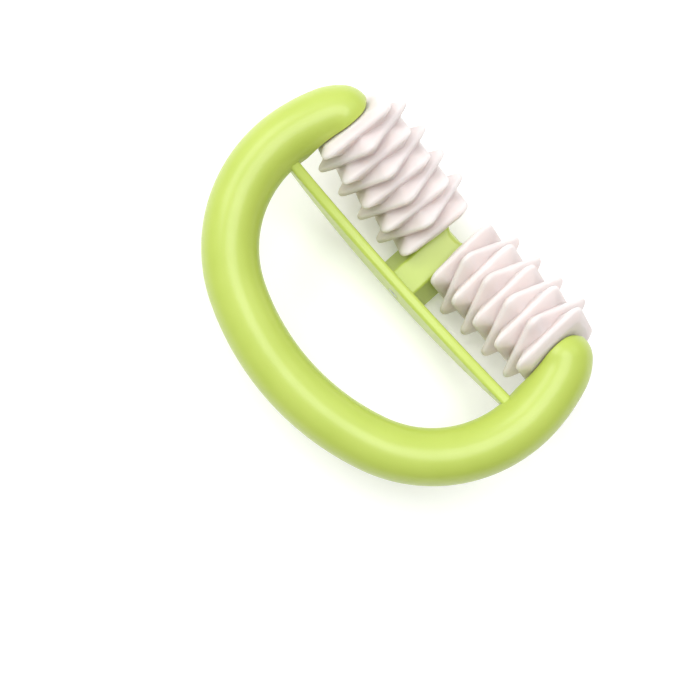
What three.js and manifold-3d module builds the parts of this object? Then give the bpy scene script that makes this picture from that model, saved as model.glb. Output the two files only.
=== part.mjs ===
// Hand-held massage roller: a D-shaped tube handle, a bowed crossbar with a centre post, and two
// ribbed rollers that spin on axles between the post and the handle's arm tips.
// Millimetres. X runs across the width, Y from the grip to the rollers, Z out of the open side of
// the rollers' V. While building, the tube's middle plane is Z = 0 and the axles cross Y = 0.
import * as THREE from 'three';
import { mergeVertices } from 'three/addons/utils/BufferGeometryUtils.js';
import Module from 'manifold-3d';

const wasm = await Module();
wasm.setup();

const deg = Math.PI / 180;

// Handle tube: tangent arcs from the grip's middle to the arm's tip. The grip's radius follows
// from the others, so that the tube meets the axle where its heading is TIP_MEETS.
const TUBE_R = 11.5;
const WALL = 2.5;
const GRIP_SWEEP = 22.8 * deg;
const CORNER = { radius: 54.4, sweep: 75 * deg };
const ARM = { radius: 71, sweep: 12.2 * deg };
const TIP = { radius: 16, sweep: 57 * deg };
const TIP_MEETS = 141 * deg;
const ARM_FACE_Z = -1.6;

// Rollers: flat square ribs that alternate by an eighth of a turn along the axle.
const RIB_COUNT = 9;
const RIB_PITCH = 6.5;
const RIB_HALF_SIDE = 17.1;
const RIB_CORNER_R = 4.8;
const RIB_CREST = 2.5;
const RIB_FLANK = 4.3;
const CORE_BODY_R = 14;
const ROLLER_TILT = 24 * deg;
const FIRST_RIB_X = 12.9;
const REST_TURN = { left: -11.4 * deg, right: 5.1 * deg };

// Hard core, bushes, axle and washers.
const SLEEVE_BORE_R = 9;
const CORE_WALL = 2.2;
const BUSH_LENGTH = 7;
const AXLE_R = 2;
const AXLE_IN_POST = 6;
const AXLE_IN_ARM = 8;
const WASHER_R = 5;
const WASHER_T = 0.8;

// Crossbar and centre post.
const BAR_BELOW_RIBS = 4.4;
const BAR_T = 4.6;
const BAR_TENON = 5.5;
const BAR_FRONT_END_Z = 3;
const BAR_FRONT_LEDGE = 11;
const BAR_REAR_LEDGE = 2.7;
const BAR_ROUND = 1.2;
const POST_FRONT_HALF = 6.1;
const POST_REAR_HALF = 12.7;
const POST_CAP = 3.3;

// Screws: shells are joined from the back, the post from under the crossbar.
const SCREW_R = 1.4;
const HEAD_R = 2.6;
const HEAD_T = 1.8;
const BOSS_WALL = 0.9;
const SEAT_DEPTH = 3.3;
const FRONT_SKIN = 3.5;
const POST_SCREW_REACH = 12;

// Clearances.
const GAP = 0.3;
const RUN_CLEARANCE = 0.09;
const END_PLAY = GAP + WASHER_T + GAP;
const RIB_CLEARANCE = 1;

const ribTip = RIB_HALF_SIDE * Math.SQRT2 - RIB_CORNER_R * (Math.SQRT2 - 1);
const ribHalfWidth = RIB_PITCH / 2;
const rollerStart = -ribHalfWidth + 0.25;
const rollerEnd = (RIB_COUNT - 1) * RIB_PITCH - rollerStart;
const postFace = rollerStart - END_PLAY;
const armFace = rollerEnd + END_PLAY;
const armFaceX = FIRST_RIB_X + armFace * Math.cos(ROLLER_TILT);
const firstRibZ = ARM_FACE_Z - armFace * Math.sin(ROLLER_TILT);
const barTop = -ribTip - BAR_BELOW_RIBS;
const barBottom = barTop - BAR_T;
const postTop = AXLE_R + GAP + POST_CAP;
const seatZ = -TUBE_R + SEAT_DEPTH;

const PAINT = {
  lime: { color: 0xc9e25f, roughness: 0.35, metalness: 0 },
  rib: { color: 0xf6e9e4, roughness: 0.65, metalness: 0 },
  core: { color: 0xe9e6df, roughness: 0.5, metalness: 0 },
  acetal: { color: 0xf3f2ec, roughness: 0.4, metalness: 0 },
  steel: { color: 0xb9bdc2, roughness: 0.3, metalness: 0.9 },
};

// ---- solids ---------------------------------------------------------------------------------

function solid(geometry) {
  const bare = new THREE.BufferGeometry();
  bare.setAttribute('position', geometry.attributes.position.clone());
  if (geometry.index) bare.setIndex(geometry.index.clone());
  const merged = mergeVertices(bare, 1e-4);
  return new wasm.Manifold(new wasm.Mesh({
    numProp: 3,
    vertProperties: new Float32Array(merged.attributes.position.array),
    triVerts: new Uint32Array(merged.index.array),
  }));
}

function geometryOf(body) {
  const mesh = body.getMesh();
  const out = new THREE.BufferGeometry();
  const xyz = new Float32Array(mesh.numVert * 3);
  for (let i = 0; i < mesh.numVert; i += 1) {
    for (let k = 0; k < 3; k += 1) xyz[3 * i + k] = mesh.vertProperties[mesh.numProp * i + k];
  }
  out.setAttribute('position', new THREE.BufferAttribute(xyz, 3));
  out.setIndex(new THREE.BufferAttribute(new Uint32Array(mesh.triVerts), 1));
  return out;
}

// A cylinder along +Z from z0 to z1.
function rod(radius, z0, z1, segments = 32) {
  const g = new THREE.CylinderGeometry(radius, radius, z1 - z0, segments);
  g.rotateX(Math.PI / 2);
  g.translate(0, 0, (z0 + z1) / 2);
  return g;
}

function ring(outer, inner, z0, z1, segments = 32) {
  return solid(rod(outer, z0, z1, segments)).subtract(solid(rod(inner, z0 - 1, z1 + 1, segments)));
}

function block(x0, x1, y0, y1, z0, z1) {
  const g = new THREE.BoxGeometry(x1 - x0, y1 - y0, z1 - z0);
  g.translate((x0 + x1) / 2, (y0 + y1) / 2, (z0 + z1) / 2);
  return solid(g);
}

// ---- handle ---------------------------------------------------------------------------------

// Where the corner, arm and tip arcs take the centre line, for a grip arc of zero radius.
function tipOffset() {
  let heading = GRIP_SWEEP, x = 0, y = 0;
  for (const { radius, sweep } of [CORNER, ARM, TIP]) {
    const next = Math.min(heading + sweep, TIP_MEETS);
    x += radius * (Math.sin(next) - Math.sin(heading));
    y += radius * (Math.cos(heading) - Math.cos(next));
    heading = next;
  }
  return { x, y };
}

const gripRadius = (armFaceX - tipOffset().x) / Math.sin(GRIP_SWEEP);
const gripDrop = tipOffset().y + gripRadius * (1 - Math.cos(GRIP_SWEEP));
const arcs = [{ radius: gripRadius, sweep: GRIP_SWEEP }, CORNER, ARM, TIP];
const hollowArcs = 2;

// Position and heading on the right half of the tube's centre line, after a length s.
function alongTube(s) {
  let x = 0, y = -gripDrop, heading = 0, left = s;
  for (const { radius, sweep } of arcs) {
    const turn = Math.min(left / radius, sweep);
    const cx = x - radius * Math.sin(heading);
    const cy = y + radius * Math.cos(heading);
    heading += turn;
    x = cx + radius * Math.sin(heading);
    y = cy - radius * Math.cos(heading);
    left -= turn * radius;
    if (left <= 1e-9) break;
  }
  return { x, y, heading };
}

function arcLength(count) {
  return arcs.slice(0, count).reduce((sum, { radius, sweep }) => sum + radius * sweep, 0);
}

class TubeLine extends THREE.Curve {
  constructor(reach) {
    super();
    this.reach = reach;
  }

  getPoint(t) {
    const s = (2 * t - 1) * this.reach;
    const p = alongTube(Math.abs(s));
    return new THREE.Vector3(Math.sign(s) * p.x, p.y, 0);
  }
}

function sweptTube(radius, reach, segments, steps) {
  const disc = new THREE.Shape();
  disc.absarc(0, 0, radius, 0, 2 * Math.PI);
  return solid(new THREE.ExtrudeGeometry(disc, {
    curveSegments: segments / 2, steps, extrudePath: new TubeLine(reach),
  }));
}

function screwPlaces() {
  const corner = alongTube(arcLength(1) + CORNER.radius * CORNER.sweep / 2);
  const arm = alongTube(arcLength(2) + ARM.radius * ARM.sweep / 2);
  return [[0, -gripDrop], [corner.x, corner.y], [-corner.x, corner.y],
    [arm.x, arm.y], [-arm.x, arm.y]];
}

// Everything a roller sweeps, out to the arm's flat end face.
function rollerPocket() {
  const clear = ribTip + RIB_CLEARANCE;
  const lastCrest = (RIB_COUNT - 1) * RIB_PITCH + RIB_CREST / 2 + RIB_CLEARANCE;
  return new THREE.LatheGeometry([[0, -10], [clear, -10], [clear, lastCrest],
    [clear - RIB_FLANK, armFace], [0, armFace]].map(([r, z]) => new THREE.Vector2(r, z)), 64)
    .rotateX(Math.PI / 2);
}

function handleShells() {
  const full = arcLength(arcs.length);
  const outer = sweptTube(TUBE_R, full, 28, 80);
  let tube = outer.subtract(sweptTube(TUBE_R - WALL, arcLength(hollowArcs), 16, 44));
  const behind = -TUBE_R - 1;
  for (const [x, y] of screwPlaces()) {
    const at = (radius, z0, z1) => solid(rod(radius, z0, z1, 24).translate(x, y, 0));
    tube = tube.add(at(HEAD_R + GAP + BOSS_WALL, -TUBE_R, TUBE_R).intersect(outer));
    tube = tube.subtract(at(SCREW_R + GAP, behind, TUBE_R - FRONT_SKIN));
    tube = tube.subtract(at(HEAD_R + GAP, behind, seatZ + GAP));
  }
  for (const side of ['left', 'right']) {
    const pose = rollerPose(side, 0);
    tube = tube.subtract(solid(rollerPocket().applyMatrix4(pose)));
    const hole = rod(AXLE_R + GAP, armFace - 1, armFace + AXLE_IN_ARM + GAP, 24);
    tube = tube.subtract(solid(hole.applyMatrix4(pose)));
  }
  tube = tube.subtract(crossbarBlank(GAP));
  const wide = 2 * gripDrop;
  return {
    front: tube.intersect(block(-wide, wide, -wide, wide, GAP / 2, wide)),
    rear: tube.intersect(block(-wide, wide, -wide, wide, -wide, -GAP / 2)),
  };
}

// ---- crossbar and post ------------------------------------------------------------------------

// Where the bar's middle plane meets the arm's inner side.
function barSpan() {
  let low = arcLength(1), high = arcLength(3);
  for (let i = 0; i < 40; i += 1) {
    const mid = (low + high) / 2;
    if (alongTube(mid).y < (barTop + barBottom) / 2) low = mid; else high = mid;
  }
  return alongTube(low).x - TUBE_R;
}

// Depth of a circular bow that passes end at x = span and mid at x = 0.
function bow(edge, span, x) {
  const rise = edge.end - edge.mid;
  const radius = (span ** 2 + rise ** 2) / (2 * rise);
  return edge.mid + radius - Math.sqrt(radius ** 2 - x ** 2);
}

function crossbarBlank(grow) {
  const span = barSpan();
  const front = { end: BAR_FRONT_END_Z, mid: postFront + BAR_FRONT_LEDGE };
  const rear = { end: -TUBE_R + WALL, mid: postRear - BAR_REAR_LEDGE };
  const outline = new THREE.Shape();
  const end = span + BAR_TENON + grow;
  const steps = 28;
  const xs = Array.from({ length: steps + 1 }, (_, i) => -end + (2 * end * i) / steps);
  xs.forEach((x, i) => {
    const y = -(bow(front, span, x) + grow);
    if (i === 0) outline.moveTo(x, y); else outline.lineTo(x, y);
  });
  [...xs].reverse().forEach((x) => outline.lineTo(x, -(bow(rear, span, x) - grow)));
  const g = new THREE.ExtrudeGeometry(outline, {
    depth: BAR_T + 2 * grow - 2 * BAR_ROUND,
    bevelThickness: BAR_ROUND, bevelSize: BAR_ROUND, bevelOffset: -BAR_ROUND, bevelSegments: 3,
  });
  g.rotateX(-Math.PI / 2);
  g.translate(0, barBottom - grow + BAR_ROUND, 0);
  return solid(g);
}

function postDepth(halfWidth) {
  const run = postFace - (halfWidth - FIRST_RIB_X) * Math.cos(ROLLER_TILT);
  return firstRibZ + run / Math.sin(ROLLER_TILT);
}

const postFront = postDepth(POST_FRONT_HALF);
const postRear = postDepth(POST_REAR_HALF);
const postMid = (postFront + postRear) / 2;

function upright(geometry, x, z) {
  return geometry.rotateX(-Math.PI / 2).translate(x, 0, z);
}

function crossbar() {
  let bar = crossbarBlank(0);
  const head = rod(HEAD_R + GAP, barBottom - 1, barBottom + HEAD_T + GAP, 24);
  const shank = rod(SCREW_R + GAP, barBottom - 1, barTop + 1, 20);
  bar = bar.subtract(solid(upright(head, 0, postMid)));
  return bar.subtract(solid(upright(shank, 0, postMid)));
}

function centrePost() {
  const plan = new THREE.Shape();
  [[-POST_FRONT_HALF, postFront], [POST_FRONT_HALF, postFront],
    [POST_REAR_HALF, postRear], [-POST_REAR_HALF, postRear]].forEach(([x, z], i) => {
    if (i === 0) plan.moveTo(x, -z); else plan.lineTo(x, -z);
  });
  const foot = barTop + GAP;
  const prism = new THREE.ExtrudeGeometry(plan, { depth: postTop + 1 - foot, bevelEnabled: false });
  prism.rotateX(-Math.PI / 2).translate(0, foot, 0);
  let post = solid(prism);
  const half = (postFront - postRear) / 2;
  const side = new THREE.Shape();
  side.moveTo(-half, foot - 1);
  side.lineTo(half, foot - 1);
  side.absellipse(0, postTop - half * 0.6, half, half * 0.6, 0, Math.PI, false);
  const cut = new THREE.ExtrudeGeometry(side, {
    depth: 2 * POST_REAR_HALF + 2, bevelEnabled: false, curveSegments: 8,
  });
  cut.translate(0, 0, -POST_REAR_HALF - 1).rotateY(-Math.PI / 2).translate(0, 0, postMid);
  post = post.intersect(solid(cut));
  for (const name of ['left', 'right']) {
    const bore = rod(AXLE_R + GAP, postFace - AXLE_IN_POST - GAP, postFace + 1, 24);
    post = post.subtract(solid(bore.applyMatrix4(rollerPose(name, 0))));
  }
  const tap = rod(SCREW_R + GAP, foot - 1, foot + POST_SCREW_REACH, 20);
  return post.subtract(solid(upright(tap, 0, postMid)));
}

// ---- rollers ----------------------------------------------------------------------------------

// Local z runs out along the axle from the first rib; local x is the row's Y.
function rollerPose(side, turn) {
  const s = side === 'right' ? 1 : -1;
  const axis = new THREE.Vector3(s * Math.cos(ROLLER_TILT), 0, Math.sin(ROLLER_TILT));
  const up = new THREE.Vector3(0, 1, 0);
  const across = new THREE.Vector3().crossVectors(axis, up);
  return new THREE.Matrix4()
    .makeBasis(up, across, axis)
    .setPosition(s * FIRST_RIB_X, 0, firstRibZ)
    .multiply(new THREE.Matrix4().makeRotationZ(turn));
}

function roundedSquare(half, r) {
  const c = half - r;
  const shape = new THREE.Shape();
  shape.absarc(c, c, r, 0, Math.PI / 2);
  shape.absarc(-c, c, r, Math.PI / 2, Math.PI);
  shape.absarc(-c, -c, r, Math.PI, 1.5 * Math.PI);
  shape.absarc(c, -c, r, 1.5 * Math.PI, 2 * Math.PI);
  return shape;
}

function rib(index) {
  const flank = ribHalfWidth - RIB_CREST / 2;
  const last = index === 0 || index === RIB_COUNT - 1;
  const reach = last ? flank - 0.25 : flank + 0.05;
  const g = new THREE.ExtrudeGeometry(roundedSquare(RIB_HALF_SIDE, RIB_CORNER_R), {
    depth: RIB_CREST, curveSegments: 2,
    bevelThickness: reach, bevelSize: RIB_FLANK, bevelOffset: -RIB_FLANK, bevelSegments: 1,
  });
  g.translate(0, 0, -RIB_CREST / 2);
  if (index % 2 === 1) g.rotateZ(Math.PI / 4);
  g.translate(0, 0, index * RIB_PITCH);
  return solid(g);
}

function sleeve() {
  let body = solid(rod(CORE_BODY_R, rollerStart, rollerEnd, 24));
  for (let i = 0; i < RIB_COUNT; i += 1) body = body.add(rib(i));
  return body.subtract(solid(rod(SLEEVE_BORE_R, rollerStart - 1, rollerEnd + 1, 36)));
}

function rollerPieces(side) {
  const coreR = SLEEVE_BORE_R - GAP;
  const boreR = coreR - CORE_WALL;
  const bushR = boreR - GAP;
  const place = (body, turn) => geometryOf(body).applyMatrix4(rollerPose(side, turn));
  const spin = REST_TURN[side];
  const washer = (z) => place(ring(WASHER_R, AXLE_R + GAP, z, z + WASHER_T, 28), 0);
  const bush = (z) => place(ring(bushR, AXLE_R + RUN_CLEARANCE, z, z + BUSH_LENGTH, 28), spin);
  const pin = solid(rod(AXLE_R, postFace - AXLE_IN_POST, armFace + AXLE_IN_ARM, 24));
  return [
    [`${side}_roller_sleeve`, place(sleeve(), spin), PAINT.rib],
    [`${side}_roller_core`, place(ring(coreR, boreR, rollerStart, rollerEnd, 36), spin), PAINT.core],
    [`${side}_inner_bush`, bush(rollerStart), PAINT.acetal],
    [`${side}_outer_bush`, bush(rollerEnd - BUSH_LENGTH), PAINT.acetal],
    [`${side}_inner_washer`, washer(postFace + GAP), PAINT.acetal],
    [`${side}_outer_washer`, washer(rollerEnd + GAP), PAINT.acetal],
    [`${side}_axle`, place(pin, 0), PAINT.steel],
  ];
}

// ---- screws -----------------------------------------------------------------------------------

// Head down, shank up +Z from the head's seat at z = 0.
function screw(length) {
  const cross = HEAD_R * 0.62;
  const slot = HEAD_R * 0.13;
  return solid(rod(HEAD_R, -HEAD_T, 0, 28))
    .add(solid(rod(SCREW_R, -HEAD_T / 2, length, 20)))
    .subtract(block(-cross, cross, -slot, slot, -HEAD_T - 1, -HEAD_T * 0.45))
    .subtract(block(-slot, slot, -cross, cross, -HEAD_T - 1, -HEAD_T * 0.45));
}

function shellScrews() {
  const length = TUBE_R - FRONT_SKIN - GAP - seatZ;
  return screwPlaces().map(([x, y], i) => [
    `shell_screw_${i + 1}`, geometryOf(screw(length)).translate(x, y, seatZ), PAINT.steel]);
}

function postScrew() {
  const length = barTop + POST_SCREW_REACH - barBottom - HEAD_T;
  const g = upright(geometryOf(screw(length)), 0, postMid).translate(0, barBottom + HEAD_T, 0);
  return ['post_screw', g, PAINT.steel];
}

// ---- assembly ---------------------------------------------------------------------------------

const shells = handleShells();
const pieces = [
  ['handle_front_shell', geometryOf(shells.front), PAINT.lime],
  ['handle_rear_shell', geometryOf(shells.rear), PAINT.lime],
  ['crossbar', geometryOf(crossbar()), PAINT.lime],
  ['centre_post', geometryOf(centrePost()), PAINT.lime],
  ...rollerPieces('left'),
  ...rollerPieces('right'),
  postScrew(),
  ...shellScrews(),
];

const bounds = new THREE.Box3();
for (const [, g] of pieces) {
  g.computeBoundingBox();
  bounds.union(g.boundingBox);
}
const centre = bounds.getCenter(new THREE.Vector3());

const roller = new THREE.Group();
roller.name = 'massage_roller';
for (const [name, g, paint] of pieces) {
  g.translate(-centre.x, -centre.y, -centre.z);
  g.computeVertexNormals();
  const mesh = new THREE.Mesh(g, new THREE.MeshStandardMaterial(paint));
  mesh.name = name;
  roller.add(mesh);
}

export default roller;
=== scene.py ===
"""Hand-held massage roller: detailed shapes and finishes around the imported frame.

Shapes are signed distance fields in millimetres, in the frame that the tube's middle plane and the
axles' height give. Each is meshed, set exactly on its surface, and moved to the row frame.
"""

import math

import bpy
import numpy as np
from mathutils import Matrix, Vector


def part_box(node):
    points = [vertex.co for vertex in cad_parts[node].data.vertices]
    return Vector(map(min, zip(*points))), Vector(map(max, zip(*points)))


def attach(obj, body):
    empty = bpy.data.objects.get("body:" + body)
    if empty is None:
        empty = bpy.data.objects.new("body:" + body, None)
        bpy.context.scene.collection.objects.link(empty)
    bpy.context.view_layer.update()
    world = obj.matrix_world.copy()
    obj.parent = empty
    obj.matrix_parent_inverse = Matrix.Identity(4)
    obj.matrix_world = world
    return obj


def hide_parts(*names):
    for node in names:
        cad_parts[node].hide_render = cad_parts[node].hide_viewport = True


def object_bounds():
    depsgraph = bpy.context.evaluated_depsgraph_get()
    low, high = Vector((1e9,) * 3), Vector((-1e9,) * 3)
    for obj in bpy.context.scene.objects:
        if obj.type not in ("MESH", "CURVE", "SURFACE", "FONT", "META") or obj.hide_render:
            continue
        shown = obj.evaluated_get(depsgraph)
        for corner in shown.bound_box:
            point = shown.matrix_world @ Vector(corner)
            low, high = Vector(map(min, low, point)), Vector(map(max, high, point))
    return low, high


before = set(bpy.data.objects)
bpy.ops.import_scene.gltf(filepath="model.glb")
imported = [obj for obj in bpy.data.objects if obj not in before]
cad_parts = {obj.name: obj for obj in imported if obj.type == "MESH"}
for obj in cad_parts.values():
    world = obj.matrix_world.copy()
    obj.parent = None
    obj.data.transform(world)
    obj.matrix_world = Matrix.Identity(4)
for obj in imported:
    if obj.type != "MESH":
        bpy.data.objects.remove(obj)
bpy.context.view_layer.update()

MM = 0.001
RAD = math.pi / 180

# Handle tube: tangent arcs from the grip's middle to the arm's tip, as (radius, sweep).
TUBE_R = 11.5
GRIP_SWEEP = 22.8 * RAD
CORNER = (54.4, 75 * RAD)
ARM = (71.0, 12.2 * RAD)
TIP = (16.0, 57 * RAD)
TIP_MEETS = 141 * RAD  # the heading at which the tip's arc passes the arm's face
NOSE_SWEEP = 27 * RAD  # the visible tube's centre line ends here on the tip's arc, in a round nose
ARM_FACE_Z = -1.6
SKIN = 0.03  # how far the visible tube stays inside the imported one
SEAM_GAP = 0.12
SEAM_ROUND = 0.35

# The pocket in the arm's tip that the roller's end turns in.
FACE_GAP = 0.35
RIB_GAP = 0.5
WALL_ROUND = 1.0
FACE_ROUND = 0.8
RIM_ROUND = (0.7, 3.0)  # the pocket's rim, low on the arm and at its nose
NOSE_START = 3.0  # the rim grows from this height, over this rise:
NOSE_RUN = 6.0
AXLE_HOLE = 8.0

# Rollers: square rings, each turned by an eighth of a turn from the one before.
RIB_COUNT = 9
RIB_PITCH = 6.5
RIB_HALF_SIDE = 17.1
RIB_CORNER_R = 4.8
RIB_CREST = 2.5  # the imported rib's flat crest
RIB_FLANK = 4.3  # how far each flank falls, from the crest to the valley
CREST_WIDTH = 1.7  # the visible rib's crest, which is rounded
CREST_SOFT = 0.22
VALLEY_SHARP = 1.7  # the higher, the tighter the fillets in the valleys
LEAST_HALF_SIDE = 6.0
LEAST_CORNER_R = 1.0
CORE_BODY_R = 14.0
ROLLER_TILT = 24 * RAD
FIRST_RIB_X = 12.9
REST_TURN = {"left": -11.4 * RAD, "right": 5.1 * RAD}
SLEEVE_BORE_R = 9.0
SLEEVE_EDGE = 0.45
END_CUT = 0.25
GAP = 0.3
END_PLAY = 1.4

# Crossbar and post.
BAR_BELOW_RIBS = 4.4
BAR_T = 4.6
BAR_TENON = 5.5
BAR_FRONT_END_Z = 3.0
BAR_FRONT_LEDGE = 11.0
BAR_REAR_LEDGE = 2.7
BAR_REAR_END_Z = -9.0
BAR_ROUND = 1.5
POST_FRONT_HALF = 6.1
POST_REAR_HALF = 12.7
POST_ROUND = 0.7
POST_FOOT_ROUND = 0.15
POST_CAP = 3.3
POST_DIP = 1.6  # the top's middle lies this far below the cap's height
FLARE = 3.2  # how far the top rises to its left and right edges, over this width:
FLARE_WIDTH = 5.0
CROWN = 0.48  # how far the top falls to its front and rear edges, of half the post's depth
CROWN_MARGIN = 0.5
CROWN_LEAST = 0.02
TOP_SLOPE = 0.8  # turns height into distance where the top slopes
AXLE_R = 2.0
AXLE_IN_POST = 6.3
AXLE_RIM = 0.2
TAP_DEPTH = 12.0

# Screws.
HEAD_R = 2.6
HEAD_T = 1.8
HEAD_ROUND = 0.35
HEAD_FOOT_ROUND = 0.1
DOME_R = 4.6
SCREW_R = 1.4
SHANK_OVERLAP = 0.5
THREAD_PITCH = 0.9
THREAD_DEPTH = 0.12
CROSS_REACH = 0.62  # of the head's radius, as is the arm's half width
CROSS_HALF = 0.13
CROSS_DEPTH = 0.45  # of the head's thickness
CROSS_TAPER = 0.25
CROSS_RIM = 0.12
CROSS_FLOOR_ROUND = 0.1
SEAT_DEPTH = 3.3
SEAT_ROUND = 0.2
SHELL_SEAT_RIM = 0.5
BAR_SEAT_RIM = 0.4
SCREW_REACH = 8.0

RIB_TIP = RIB_HALF_SIDE * math.sqrt(2) - RIB_CORNER_R * (math.sqrt(2) - 1)
ROLLER_START = -RIB_PITCH / 2 + END_CUT
ROLLER_END = (RIB_COUNT - 1) * RIB_PITCH - ROLLER_START
POST_FACE = ROLLER_START - END_PLAY
ARM_FACE = ROLLER_END + END_PLAY
ARM_FACE_X = FIRST_RIB_X + ARM_FACE * math.cos(ROLLER_TILT)
FIRST_RIB_Z = ARM_FACE_Z - ARM_FACE * math.sin(ROLLER_TILT)
BAR_TOP = -RIB_TIP - BAR_BELOW_RIBS
BAR_BOTTOM = BAR_TOP - BAR_T
POST_TOP = AXLE_R + GAP + POST_CAP
SEAT_Z = -TUBE_R + SEAT_DEPTH

# Where the tube's middle plane and the axles' height are in the row frame.
axle_low, axle_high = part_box("left_axle")
ORIGIN = np.array(
    [0.0, (axle_low.y + axle_high.y) / 2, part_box("handle_front_shell")[1].z - TUBE_R * MM]
)


# ---- distance fields ---------------------------------------------------------------------------


def both(a, b, r):
    """The part inside a and b, with the edge between them rounded to radius r."""
    return np.minimum(-r, np.maximum(a, b)) + np.hypot(np.maximum(a + r, 0), np.maximum(b + r, 0))


def centre_arcs():
    """(centre x, centre y, radius, heading at start, heading at end) of the right half's arcs."""
    rest = (CORNER, ARM, TIP)
    heading, run, rise = GRIP_SWEEP, 0.0, 0.0
    for radius, sweep in rest:
        after = min(heading + sweep, TIP_MEETS)
        run += radius * (math.sin(after) - math.sin(heading))
        rise += radius * (math.cos(heading) - math.cos(after))
        heading = after
    grip = (ARM_FACE_X - run) / math.sin(GRIP_SWEEP)
    x, y, heading = 0.0, -(rise + grip * (1 - math.cos(GRIP_SWEEP))), 0.0
    arcs = []
    for radius, sweep in ((grip, GRIP_SWEEP), *rest):
        cx, cy = x - radius * math.sin(heading), y + radius * math.cos(heading)
        arcs.append((cx, cy, radius, heading, heading + sweep))
        heading += sweep
        x, y = cx + radius * math.sin(heading), cy - radius * math.cos(heading)
    cx, cy, radius, start, _ = arcs[-1]
    arcs[-1] = (cx, cy, radius, start, start + NOSE_SWEEP)
    return arcs


ARCS = centre_arcs()


def on_arc(arc, share):
    cx, cy, radius, start, end = arc
    heading = start + (end - start) * share
    return cx + radius * math.sin(heading), cy - radius * math.cos(heading)


def tube(p):
    x, y, z = np.abs(p[:, 0]), p[:, 1], p[:, 2]
    slack = 0.01
    near = np.full(len(p), np.inf)
    for arc in ARCS:
        cx, cy, radius, start, end = arc
        heading = np.arctan2(x - cx, cy - y)
        heading = np.where(heading < -slack, heading + 2 * math.pi, heading)
        away = np.abs(np.hypot(x - cx, y - cy) - radius)
        near = np.where((heading >= start) & (heading <= end), np.minimum(near, away), near)
        ex, ey = on_arc(arc, 1)
        near = np.minimum(near, np.hypot(x - ex, y - ey))
    return np.hypot(near, z) - TUBE_R + SKIN


def along_axle(p):
    """Distance along the right axle from the first rib, and away from it; the left one mirrors."""
    q = np.column_stack([np.abs(p[:, 0]), p[:, 1:]]) - np.array([FIRST_RIB_X, 0, FIRST_RIB_Z])
    t = q @ np.array([math.cos(ROLLER_TILT), 0, math.sin(ROLLER_TILT)])
    return t, np.sqrt(np.maximum((q * q).sum(1) - t * t, 0))


def pocket(p):
    """The room for the roller's end, whose wall tapers with the last rib, and the axle's hole."""
    t, r = along_axle(p)
    clear = RIB_TIP + RIB_GAP
    last = (RIB_COUNT - 1) * RIB_PITCH + RIB_CREST / 2 + RIB_GAP
    face = ROLLER_END + FACE_GAP
    run = face - last
    taper = ((r - clear) * run + (t - last) * RIB_FLANK) / math.hypot(run, RIB_FLANK)
    wall = both(r - clear, taper, WALL_ROUND)
    hole = np.maximum(r - AXLE_R - GAP, t - ARM_FACE - AXLE_HOLE)
    return np.minimum(both(wall, t - face, FACE_ROUND), hole)


def screw_places():
    found = [on_arc(ARCS[0], 0)]
    for arc in (ARCS[1], ARCS[2]):
        x, y = on_arc(arc, 0.5)
        found += [(x, y), (-x, y)]
    return found


def handle(p):
    nose = np.clip((p[:, 1] - NOSE_START) / NOSE_RUN, 0, 1)
    rim = RIM_ROUND[0] + (RIM_ROUND[1] - RIM_ROUND[0]) * nose * nose
    body = both(tube(p), -pocket(p), rim)
    for x, y in screw_places():
        r = np.hypot(p[:, 0] - x, p[:, 1] - y)
        seat = both(r - HEAD_R - GAP, p[:, 2] - SEAT_Z - GAP, SEAT_ROUND)
        body = both(body, -seat, SHELL_SEAT_RIM)
        body = np.maximum(body, -np.maximum(r - SCREW_R - GAP, p[:, 2] - SCREW_REACH - GAP))
    return body


def handle_half(side):
    def field(p):
        return both(handle(p), SEAM_GAP / 2 - side * p[:, 2], SEAM_ROUND)

    return field


def bow(end, mid, span):
    """Centre and radius, in depth, of the circle through end at x = span and mid at x = 0."""
    radius = (span**2 + (end - mid) ** 2) / (2 * (end - mid))
    return mid + radius, radius


def bar_span():
    """Half the crossbar's length between the tube's walls."""
    middle = (BAR_TOP + BAR_BOTTOM) / 2
    cx, cy, radius, _, _ = ARCS[2]
    return cx + math.sqrt(radius**2 - (middle - cy) ** 2) - TUBE_R


def post_depth(half):
    """The depth at which the post's sides, square to the axles, are that far from its middle."""
    across = (half - FIRST_RIB_X) * math.cos(ROLLER_TILT)
    return FIRST_RIB_Z + (POST_FACE - across) / math.sin(ROLLER_TILT)


POST_FRONT = post_depth(POST_FRONT_HALF)
POST_REAR = post_depth(POST_REAR_HALF)
POST_MID = (POST_FRONT + POST_REAR) / 2
SPAN = bar_span()
FRONT_BOW = bow(BAR_FRONT_END_Z, POST_FRONT + BAR_FRONT_LEDGE, SPAN)
REAR_BOW = bow(BAR_REAR_END_Z, POST_REAR - BAR_REAR_LEDGE, SPAN)


def bar(p):
    x, y, z = p.T
    front = FRONT_BOW[1] - np.hypot(x, z - FRONT_BOW[0])
    rear = np.hypot(x, z - REAR_BOW[0]) - REAR_BOW[1]
    plan = np.maximum(np.maximum(front, rear), np.abs(x) - SPAN - BAR_TENON)
    slab = np.abs(y - (BAR_TOP + BAR_BOTTOM) / 2) - BAR_T / 2
    body = both(plan, slab, BAR_ROUND)
    r = np.hypot(x, z - POST_MID)
    recess = both(r - HEAD_R - GAP, y - BAR_BOTTOM - HEAD_T - GAP, SEAT_ROUND)
    return np.maximum(both(body, -recess, BAR_SEAT_RIM), SCREW_R + GAP - r)


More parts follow.
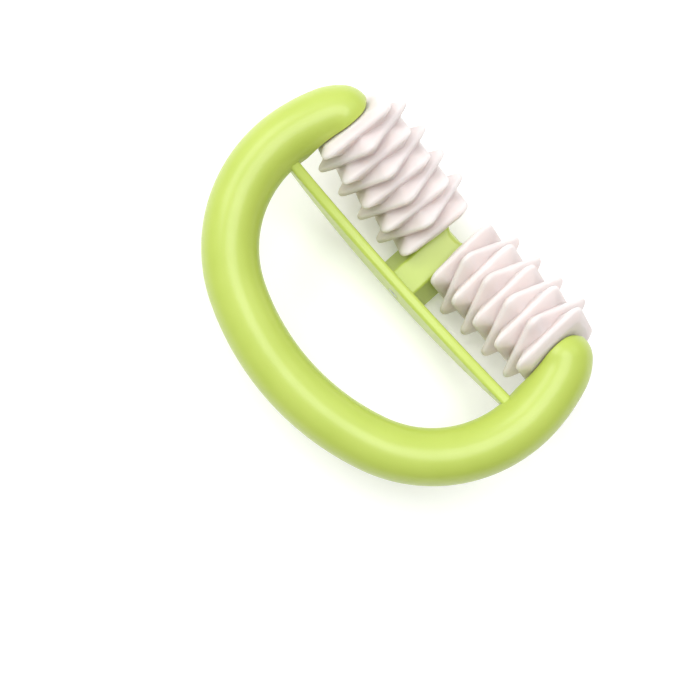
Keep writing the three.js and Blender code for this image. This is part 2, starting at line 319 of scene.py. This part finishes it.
def post(p):
    """A prism that widens to the rear, under a saddle-shaped top, with its axle and screw holes."""
    x, y, z = np.abs(p[:, 0]), p[:, 1], p[:, 2]
    half = (POST_FRONT - POST_REAR) / 2
    slope = (POST_REAR_HALF - POST_FRONT_HALF) / (POST_FRONT - POST_REAR)
    side = (x - POST_FRONT_HALF - (POST_FRONT - z) * slope) / math.hypot(1, slope)
    plan = both(side, np.abs(z - POST_MID) - half, POST_ROUND)
    flare = FLARE * np.clip(1 + side / FLARE_WIDTH, 0, 1) ** 2
    bend = np.clip(1 - ((z - POST_MID) / (half + CROWN_MARGIN)) ** 2, CROWN_LEAST, 1)
    crown = half * CROWN * (1 - np.sqrt(bend))
    top = (y - (POST_TOP - POST_DIP - crown + flare)) * TOP_SLOPE
    body = both(both(plan, top, POST_ROUND), BAR_TOP - y, POST_FOOT_ROUND)
    t, r = along_axle(p)
    hole = np.maximum(r - AXLE_R - GAP, POST_FACE - AXLE_IN_POST - t)
    tap = np.maximum(np.hypot(x, z - POST_MID) - SCREW_R - GAP, y - BAR_TOP - TAP_DEPTH)
    return np.maximum(both(body, -hole, AXLE_RIM), -tap)


def screw(length):
    """Head below z = 0, shank above it."""

    def field(p):
        x, y, z = p.T
        r = np.hypot(x, y)
        dome = np.sqrt(x * x + y * y + (z - DOME_R) ** 2) - DOME_R - HEAD_T
        head = both(both(r - HEAD_R, dome, HEAD_ROUND), z, HEAD_FOOT_ROUND)
        thread = THREAD_DEPTH * np.sin(2 * math.pi * (z / THREAD_PITCH) + np.arctan2(y, x))
        ends = np.maximum(-z - SHANK_OVERLAP, z - length)
        shank = np.maximum(r - SCREW_R + THREAD_DEPTH - thread, ends)
        arm = HEAD_R * CROSS_REACH - CROSS_TAPER * np.abs(z)
        cross = np.minimum(
            np.maximum(np.abs(x) - arm, np.abs(y) - HEAD_R * CROSS_HALF),
            np.maximum(np.abs(y) - arm, np.abs(x) - HEAD_R * CROSS_HALF),
        )
        recess = both(cross, z + HEAD_T * CROSS_DEPTH, CROSS_FLOOR_ROUND)
        return both(np.minimum(head, shank), -recess, CROSS_RIM)

    return field


# ---- meshing -----------------------------------------------------------------------------------


SLOPE_STEP = 0.01
SETTLE_ROUNDS = 5
SETTLE_MOST = 0.5
FLATTEST = 0.05
TINY = 1e-9


def slope_of(field, p):
    ways = np.eye(3) * SLOPE_STEP
    return np.column_stack([(field(p + w) - field(p - w)) / (2 * SLOPE_STEP) for w in ways])


def mesh_of(field, xs, ys, zs):
    """Points on the field's zero surface, quads between them, and the surface's normals.

    Each grid cell that the surface passes through gets one point, at the middle of its crossings,
    which then moves along the field's slope until it lies on the surface.
    """
    axes = [np.asarray(a, float) for a in (xs, ys, zs)]
    grid = np.stack(np.meshgrid(*axes, indexing="ij"), -1)
    shape = grid.shape[:3]
    value = field(grid.reshape(-1, 3)).reshape(shape)
    cells = tuple(n - 1 for n in shape)
    total = np.zeros((np.prod(cells), 3))
    count = np.zeros(np.prod(cells))
    quads = []
    for axis in range(3):
        low = tuple(slice(0, -1) if k == axis else slice(None) for k in range(3))
        high = tuple(slice(1, None) if k == axis else slice(None) for k in range(3))
        crossed = np.argwhere((value[low] < 0) != (value[high] < 0))
        step = np.eye(3, dtype=int)[axis]
        a, b = tuple(crossed.T), tuple((crossed + step).T)
        va, vb = value[a], value[b]
        point = grid[a] + (va / (va - vb))[:, None] * (grid[b] - grid[a])
        u, v = (axis + 1) % 3, (axis + 2) % 3
        corners = []
        for du, dv in ((1, 1), (0, 1), (0, 0), (1, 0)):
            cell = crossed.copy()
            cell[:, u] -= du
            cell[:, v] -= dv
            if (cell < 0).any() or (cell >= np.array(cells)).any():
                raise ValueError("the grid has to reach past the surface")
            at = np.ravel_multi_index(tuple(cell.T), cells)
            np.add.at(total, at, point)
            np.add.at(count, at, 1)
            corners.append(at)
        ring = np.column_stack(corners)
        quads.append(np.where((va < 0)[:, None], ring, ring[:, ::-1]))
    used = np.flatnonzero(count)
    place = np.full(len(count), -1)
    place[used] = np.arange(len(used))
    p = total[used] / count[used][:, None]
    for _ in range(SETTLE_ROUNDS):
        g = slope_of(field, p)
        move = -field(p)[:, None] * g / np.maximum((g * g).sum(1), FLATTEST)[:, None]
        length = np.linalg.norm(move, axis=1)
        p = p + move * np.minimum(1, SETTLE_MOST / np.maximum(length, TINY))[:, None]
    g = slope_of(field, p)
    normals = g / np.maximum(np.linalg.norm(g, axis=1), TINY)[:, None]
    return p, place[np.concatenate(quads)], normals


def piece(name, points, faces, normals, body, material, slot, nodes):
    mesh = bpy.data.meshes.new(name)
    mesh.from_pydata((np.asarray(points) * MM + ORIGIN).tolist(), [], np.asarray(faces).tolist())
    mesh.validate()
    mesh.shade_smooth()
    if normals is not None:
        mesh.normals_split_custom_set_from_vertices(np.asarray(normals).tolist())
    mesh.materials.append(material)
    made = bpy.data.objects.new(name, mesh)
    bpy.context.scene.collection.objects.link(made)
    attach(made, body)
    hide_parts(*nodes)


def steps(low, high, size):
    """Even grid lines from low to high, at most size apart."""
    return np.linspace(low, high, max(2, math.ceil((high - low) / size)) + 1)


# ---- rollers -----------------------------------------------------------------------------------


def square_reach(angle, half, corner):
    """Distance from the middle of a rounded square to its outline, at an angle from a flat side."""
    folded = np.abs((angle + math.pi / 4) % (math.pi / 2) - math.pi / 4)
    inner = half - corner
    flat = half / np.cos(folded)
    dot = inner * (np.cos(folded) + np.sin(folded))
    curved = dot + np.sqrt(np.maximum(corner**2 - (2 * inner**2 - dot**2), 0))
    return np.where(half * np.tan(folded) <= inner, flat, curved)


def sleeve_reach(angle, t):
    """The sleeve's outer radius: the furthest of ribs and body, with soft crests and valleys."""
    level = 20  # near every radius, so that the powers stay small
    slope = RIB_FLANK / (RIB_PITCH / 2 - CREST_WIDTH / 2)
    body = np.full(np.broadcast(angle, t).shape, CORE_BODY_R)
    total = np.exp(VALLEY_SHARP * (body - level))
    for k in range(RIB_COUNT):
        past = np.abs(t - k * RIB_PITCH) - CREST_WIDTH / 2
        drop = slope * CREST_SOFT * np.logaddexp(0, past / CREST_SOFT)
        half = np.maximum(RIB_HALF_SIDE - drop, LEAST_HALF_SIDE)
        corner = np.clip(RIB_CORNER_R - drop / 2, LEAST_CORNER_R, half - LEAST_CORNER_R)
        turned = angle + (math.pi / 4 if k % 2 else 0)
        total += np.exp(VALLEY_SHARP * (square_reach(turned, half, corner) - level))
    return level + np.log(total) / VALLEY_SHARP


def sleeve_mesh():
    """Rings of points round the sleeve: out along it, over the end face, and back up the bore."""
    columns, ring_step, bore_rings = 288, 0.26, 14
    angle = np.linspace(0, 2 * math.pi, columns, endpoint=False)[None, :]
    first, last = ROLLER_START + SLEEVE_EDGE, ROLLER_END - SLEEVE_EDGE
    quarter = [turn * RAD for turn in (0, 30, 60, 90)]

    def ring(z, less=0.0):
        return z, sleeve_reach(angle, np.array([[z]]))[0] - less

    def bore(z, wider=0.0):
        return z, np.full(columns, SLEEVE_BORE_R + wider)

    def end(z, inward):
        """One end, from the ribs to the bore, with both edges rounded."""
        over = [(SLEEVE_EDGE * (1 - math.sin(a)), SLEEVE_EDGE * (1 - math.cos(a))) for a in quarter]
        rim = [ring(z + inward * back, less) for back, less in over]
        outer, inner = rim[-1][1], SLEEVE_BORE_R + SLEEVE_EDGE
        face = [(z, outer + (inner - outer) * share) for share in (0.25, 0.5, 0.75)]
        return rim + face + [bore(z + inward * back, wider) for wider, back in over]

    loop = [ring(z) for z in steps(first, last, ring_step)[1:-1]]
    loop += end(ROLLER_END, -1)
    loop += [bore(z) for z in np.linspace(last, first, bore_rings)[1:-1]]
    loop += end(ROLLER_START, 1)[::-1]
    z = np.array([z for z, _ in loop])[:, None]
    r = np.array([row for _, row in loop])
    points = np.stack([r * np.cos(angle), r * np.sin(angle), z + r * 0], -1).reshape(-1, 3)
    i, j = np.meshgrid(range(len(loop)), range(columns), indexing="ij")

    def at(row, column):
        return ((row % len(loop)) * columns + column % columns).ravel()

    faces = np.column_stack([at(i, j), at(i, j + 1), at(i + 1, j + 1), at(i + 1, j)])
    return points, faces


def placed(points, side, turn):
    """A sleeve's points, turned on its axis by that much and moved to its side's axle."""
    s = 1 if side == "right" else -1
    axis = np.array([s * math.cos(ROLLER_TILT), 0, math.sin(ROLLER_TILT)])
    up = np.array([0.0, 1, 0])
    across = np.cross(axis, up)
    c, n = math.cos(turn), math.sin(turn)
    x, y, z = points.T
    turned = np.outer(x * c - y * n, up) + np.outer(x * n + y * c, across)
    return turned + np.outer(z, axis) + [s * FIRST_RIB_X, 0, FIRST_RIB_Z]


# ---- finishes ----------------------------------------------------------------------------------


DRIFT_SPAN = (0.3, 0.7)


def linear(*srgb):
    """A screen colour, 0 to 255, as the linear one that a shader takes."""
    return tuple(
        c / 255 / 12.92 if c <= 10.31 else ((c / 255 + 0.055) / 1.055) ** 2.4 for c in srgb
    ) + (1.0,)


def finish_of(name, low, high, rough, patch, grain, relief, **shader):
    """A moulded or drawn surface: drifting colour, uneven polish and a fine relief.

    patch and grain are the scales of the drift and of the relief, in cells per metre, and relief
    is the bump's strength and its height in millimetres.
    """
    material = bpy.data.materials.new(name)
    material.use_nodes = True
    tree = material.node_tree
    tree.nodes.clear()
    add = tree.nodes.new
    out, skin = add("ShaderNodeOutputMaterial"), add("ShaderNodeBsdfPrincipled")
    tree.links.new(skin.outputs["BSDF"], out.inputs["Surface"])
    where = add("ShaderNodeTexCoord").outputs["Object"]

    def noise(scale, detail, distortion=0.0):
        n = add("ShaderNodeTexNoise")
        n.inputs["Scale"].default_value = scale
        n.inputs["Detail"].default_value = detail
        n.inputs["Distortion"].default_value = distortion
        tree.links.new(where, n.inputs["Vector"])
        return n.outputs["Fac"]

    drift = add("ShaderNodeValToRGB")
    first, last = drift.color_ramp.elements
    first.position, last.position = DRIFT_SPAN
    first.color, last.color = low, high
    tree.links.new(noise(patch, detail=3), drift.inputs["Fac"])
    tree.links.new(drift.outputs["Color"], skin.inputs["Base Color"])
    polish = add("ShaderNodeMapRange")
    polish.inputs["To Min"].default_value, polish.inputs["To Max"].default_value = rough
    tree.links.new(noise(patch * 3, detail=4, distortion=0.5), polish.inputs["Value"])
    tree.links.new(polish.outputs["Result"], skin.inputs["Roughness"])
    bump = add("ShaderNodeBump")
    bump.inputs["Strength"].default_value = relief[0]
    bump.inputs["Distance"].default_value = relief[1] * MM
    tree.links.new(noise(grain, detail=4), bump.inputs["Height"])
    tree.links.new(bump.outputs["Normal"], skin.inputs["Normal"])
    for key, value in shader.items():
        skin.inputs[key.replace("_", " ")].default_value = value
    return material


lime = finish_of(
    "lime_plastic", linear(181, 200, 84), linear(187, 205, 92),
    rough=(0.34, 0.46), patch=45, grain=900, relief=(0.12, 0.05),
    Subsurface_Weight=0.05, Subsurface_Radius=(0.6, 1.0, 0.3), Subsurface_Scale=0.002, IOR=1.5,
    Coat_Weight=0.3, Coat_Roughness=0.2,
)
rubber = finish_of(
    "rib_elastomer", linear(222, 211, 209), linear(229, 220, 218),
    rough=(0.58, 0.72), patch=60, grain=1400, relief=(0.2, 0.06),
    Subsurface_Weight=1.0, Subsurface_Radius=(1.0, 0.9, 0.85), Subsurface_Scale=0.008, IOR=1.43,
)
core = finish_of(
    "core_plastic", linear(232, 228, 219), linear(238, 235, 228),
    rough=(0.42, 0.56), patch=60, grain=900, relief=(0.15, 0.05), IOR=1.5,
)
acetal = finish_of(
    "acetal", linear(240, 239, 233), linear(246, 245, 240),
    rough=(0.3, 0.42), patch=80, grain=1200, relief=(0.1, 0.04), IOR=1.48,
)
steel = finish_of(
    "steel", linear(176, 180, 186), linear(196, 199, 204),
    rough=(0.22, 0.36), patch=150, grain=2500, relief=(0.1, 0.03), Metallic=1.0,
)

# ---- pieces ------------------------------------------------------------------------------------

# Every grid reaches a little past its surface.
HANDLE_STEP = 0.62
BAR_STEPS = (0.7, 0.35, 0.5)
POST_STEP = 0.4
SCREW_STEP = 0.17
HEAD_STEP = 0.13
SHANK_STEP = 0.3
HANDLE_MARGIN = 1.5
ARM_TIP_ROOM = 12  # more than the tip rises above the axles
NEAR_SEAM = (-0.2, -0.05, 0.0, 0.06, 0.12, 0.2, 0.3, 0.42, 0.6, 0.85, 1.2, 1.6)
DEPTH_START = 2.1
DEPTH_STEP = 0.6
DEPTH_MARGIN = 1.3
deeper = np.arange(DEPTH_START, TUBE_R + DEPTH_MARGIN, DEPTH_STEP)
depths = np.concatenate([NEAR_SEAM, deeper])
grip_y = on_arc(ARCS[0], 0)[1]
reach_x = max(on_arc(arc, s / 20)[0] for arc in ARCS for s in range(21)) + TUBE_R + HANDLE_MARGIN
wide_x = steps(-reach_x, reach_x, HANDLE_STEP)
high_y = steps(grip_y - TUBE_R - HANDLE_MARGIN, TUBE_R + ARM_TIP_ROOM, HANDLE_STEP)
for label, side in (("front", 1), ("rear", -1)):
    zs = depths if side > 0 else -depths[::-1]
    made = mesh_of(handle_half(side), wide_x, high_y, zs)
    piece(f"handle_{label}", *made, "handle", lime, "lime_plastic", [f"handle_{label}_shell"])

made = mesh_of(
    bar,
    steps(-SPAN - BAR_TENON - 1, SPAN + BAR_TENON + 1, BAR_STEPS[0]),
    steps(BAR_BOTTOM - 0.8, BAR_TOP + 0.8, BAR_STEPS[1]),
    steps(POST_REAR - BAR_REAR_LEDGE - 1.5, BAR_FRONT_END_Z + 2.5, BAR_STEPS[2]),
)
piece("handle_crossbar", *made, "handle", lime, "lime_plastic", ["crossbar"])
made = mesh_of(
    post,
    steps(-POST_REAR_HALF - 1, POST_REAR_HALF + 1, POST_STEP),
    steps(BAR_TOP - 1, POST_TOP + 3, POST_STEP),
    steps(POST_REAR - 1, POST_FRONT + 1, POST_STEP),
)
piece("handle_post", *made, "handle", lime, "lime_plastic", ["centre_post"])

length = SCREW_REACH - SEAT_Z - GAP
across = steps(-3, 3, SCREW_STEP)
along = np.concatenate([steps(-2.2, 0.4, HEAD_STEP), steps(0.7, length + 0.7, SHANK_STEP)])
points, faces, normals = mesh_of(screw(length), across, across, along)
for i, (x, y) in enumerate(screw_places(), 1):
    moved = points + [x, y, SEAT_Z]
    piece(f"screw_{i}", moved, faces, normals, "handle", steel, "steel", [f"shell_screw_{i}"])

points, faces = sleeve_mesh()
for side in ("left", "right"):
    moved = placed(points, side, REST_TURN[side])
    piece(
        f"{side}_ribbed_sleeve", moved, faces, None,
        f"{side}_roller", rubber, "rib_elastomer", [f"{side}_roller_sleeve"],
    )

# What stays as packed: axles and the post's screw, roller cores, washers and bushes.
for name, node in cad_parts.items():
    if node.hide_render:
        continue
    if "axle" in name or "screw" in name:
        finish = steel
    elif "core" in name:
        finish = core
    else:
        finish = acetal
    node.data.materials.clear()
    node.data.materials.append(finish)

# ---- stage -------------------------------------------------------------------------------------

FLOOR_HALF = 3.0
FLOOR_BELOW = 0.2 * MM
low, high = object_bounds()
centre = (low + high) / 2
floor_z = low.z - FLOOR_BELOW
corners = [
    (x * FLOOR_HALF, y * FLOOR_HALF, floor_z) for x, y in ((-1, -1), (1, -1), (1, 1), (-1, 1))
]
floor_mesh = bpy.data.meshes.new("floor")
floor_mesh.from_pydata(corners, [], [(0, 1, 2, 3)])
floor = bpy.data.objects.new("floor", floor_mesh)
bpy.context.scene.collection.objects.link(floor)
floor_mesh.materials.append(finish_of(
    "floor_paint", linear(250, 250, 250), linear(252, 252, 252),
    rough=(0.8, 0.9), patch=3, grain=200, relief=(0.02, 0.05),
    Emission_Color=(1, 1, 1, 1), Emission_Strength=0.15,
))

# The camera's place, and what is to its right, above it and behind it.
CAMERA = Vector((21.26, -39.76, 500.30)) * MM
RIGHT = Vector((0.66749079, 0.74459805, 0.00545814))
UP = Vector((-0.74400645, 0.66662758, 0.04541007))
BACK = RIGHT.cross(UP).normalized()
FOCAL_LENGTH = 63.42
SENSOR_WIDTH = 36.0
lens = bpy.data.cameras.new("camera")
lens.lens, lens.sensor_width = FOCAL_LENGTH, SENSOR_WIDTH
lens.clip_start, lens.clip_end = 0.01, 20
camera = bpy.data.objects.new("camera", lens)
camera.matrix_world = Matrix.Translation(CAMERA) @ Matrix((RIGHT, UP, BACK)).transposed().to_4x4()
bpy.context.scene.collection.objects.link(camera)
bpy.context.scene.camera = camera

LIGHT_DISTANCE = 0.9


def softbox(name, right, up, back, size, power):
    """A soft light that stands that way from the object, as the camera sees it."""
    light = bpy.data.lights.new(name, "AREA")
    light.shape, light.size, light.size_y = "RECTANGLE", *size
    light.energy = power
    made = bpy.data.objects.new(name, light)
    way = (RIGHT * right + UP * up + BACK * back).normalized()
    made.location = centre + way * LIGHT_DISTANCE
    made.rotation_mode = "QUATERNION"
    made.rotation_quaternion = (-way).to_track_quat("-Z", "Y")
    bpy.context.scene.collection.objects.link(made)


softbox("key_light", -0.7, 0.75, 1.0, size=(0.5, 0.35), power=2.1)
softbox("side_light", 0.8, 0.7, 0.8, size=(0.4, 0.4), power=0.4)
softbox("front_light", 0.1, 0.15, 1.0, size=(0.6, 0.5), power=3.8)

# A room that is brightest above and behind the camera's left shoulder, and dim opposite.
BRIGHT_SIDE = (BACK + UP * 0.6 - RIGHT * 0.3).normalized()
DIM_FROM = -0.2  # the cosine from the bright side at which the room is dimmest
DIMMEST, BRIGHTEST = 0.1, 1.0
world = bpy.data.worlds.new("studio")
world.use_nodes = True
tree = world.node_tree
sky = tree.nodes["Background"]
sky.inputs["Color"].default_value = (1, 1, 1, 1)
facing = tree.nodes.new("ShaderNodeVectorMath")
facing.operation = "DOT_PRODUCT"
facing.inputs[1].default_value = BRIGHT_SIDE
glow = tree.nodes.new("ShaderNodeMapRange")
glow.inputs["From Min"].default_value = DIM_FROM
glow.inputs["To Min"].default_value = DIMMEST
glow.inputs["To Max"].default_value = BRIGHTEST
way = tree.nodes.new("ShaderNodeTexCoord")
tree.links.new(way.outputs["Generated"], facing.inputs[0])
tree.links.new(facing.outputs["Value"], glow.inputs["Value"])
tree.links.new(glow.outputs["Result"], sky.inputs["Strength"])
bpy.context.scene.world = world
bpy.context.scene.view_settings.view_transform = "Standard"
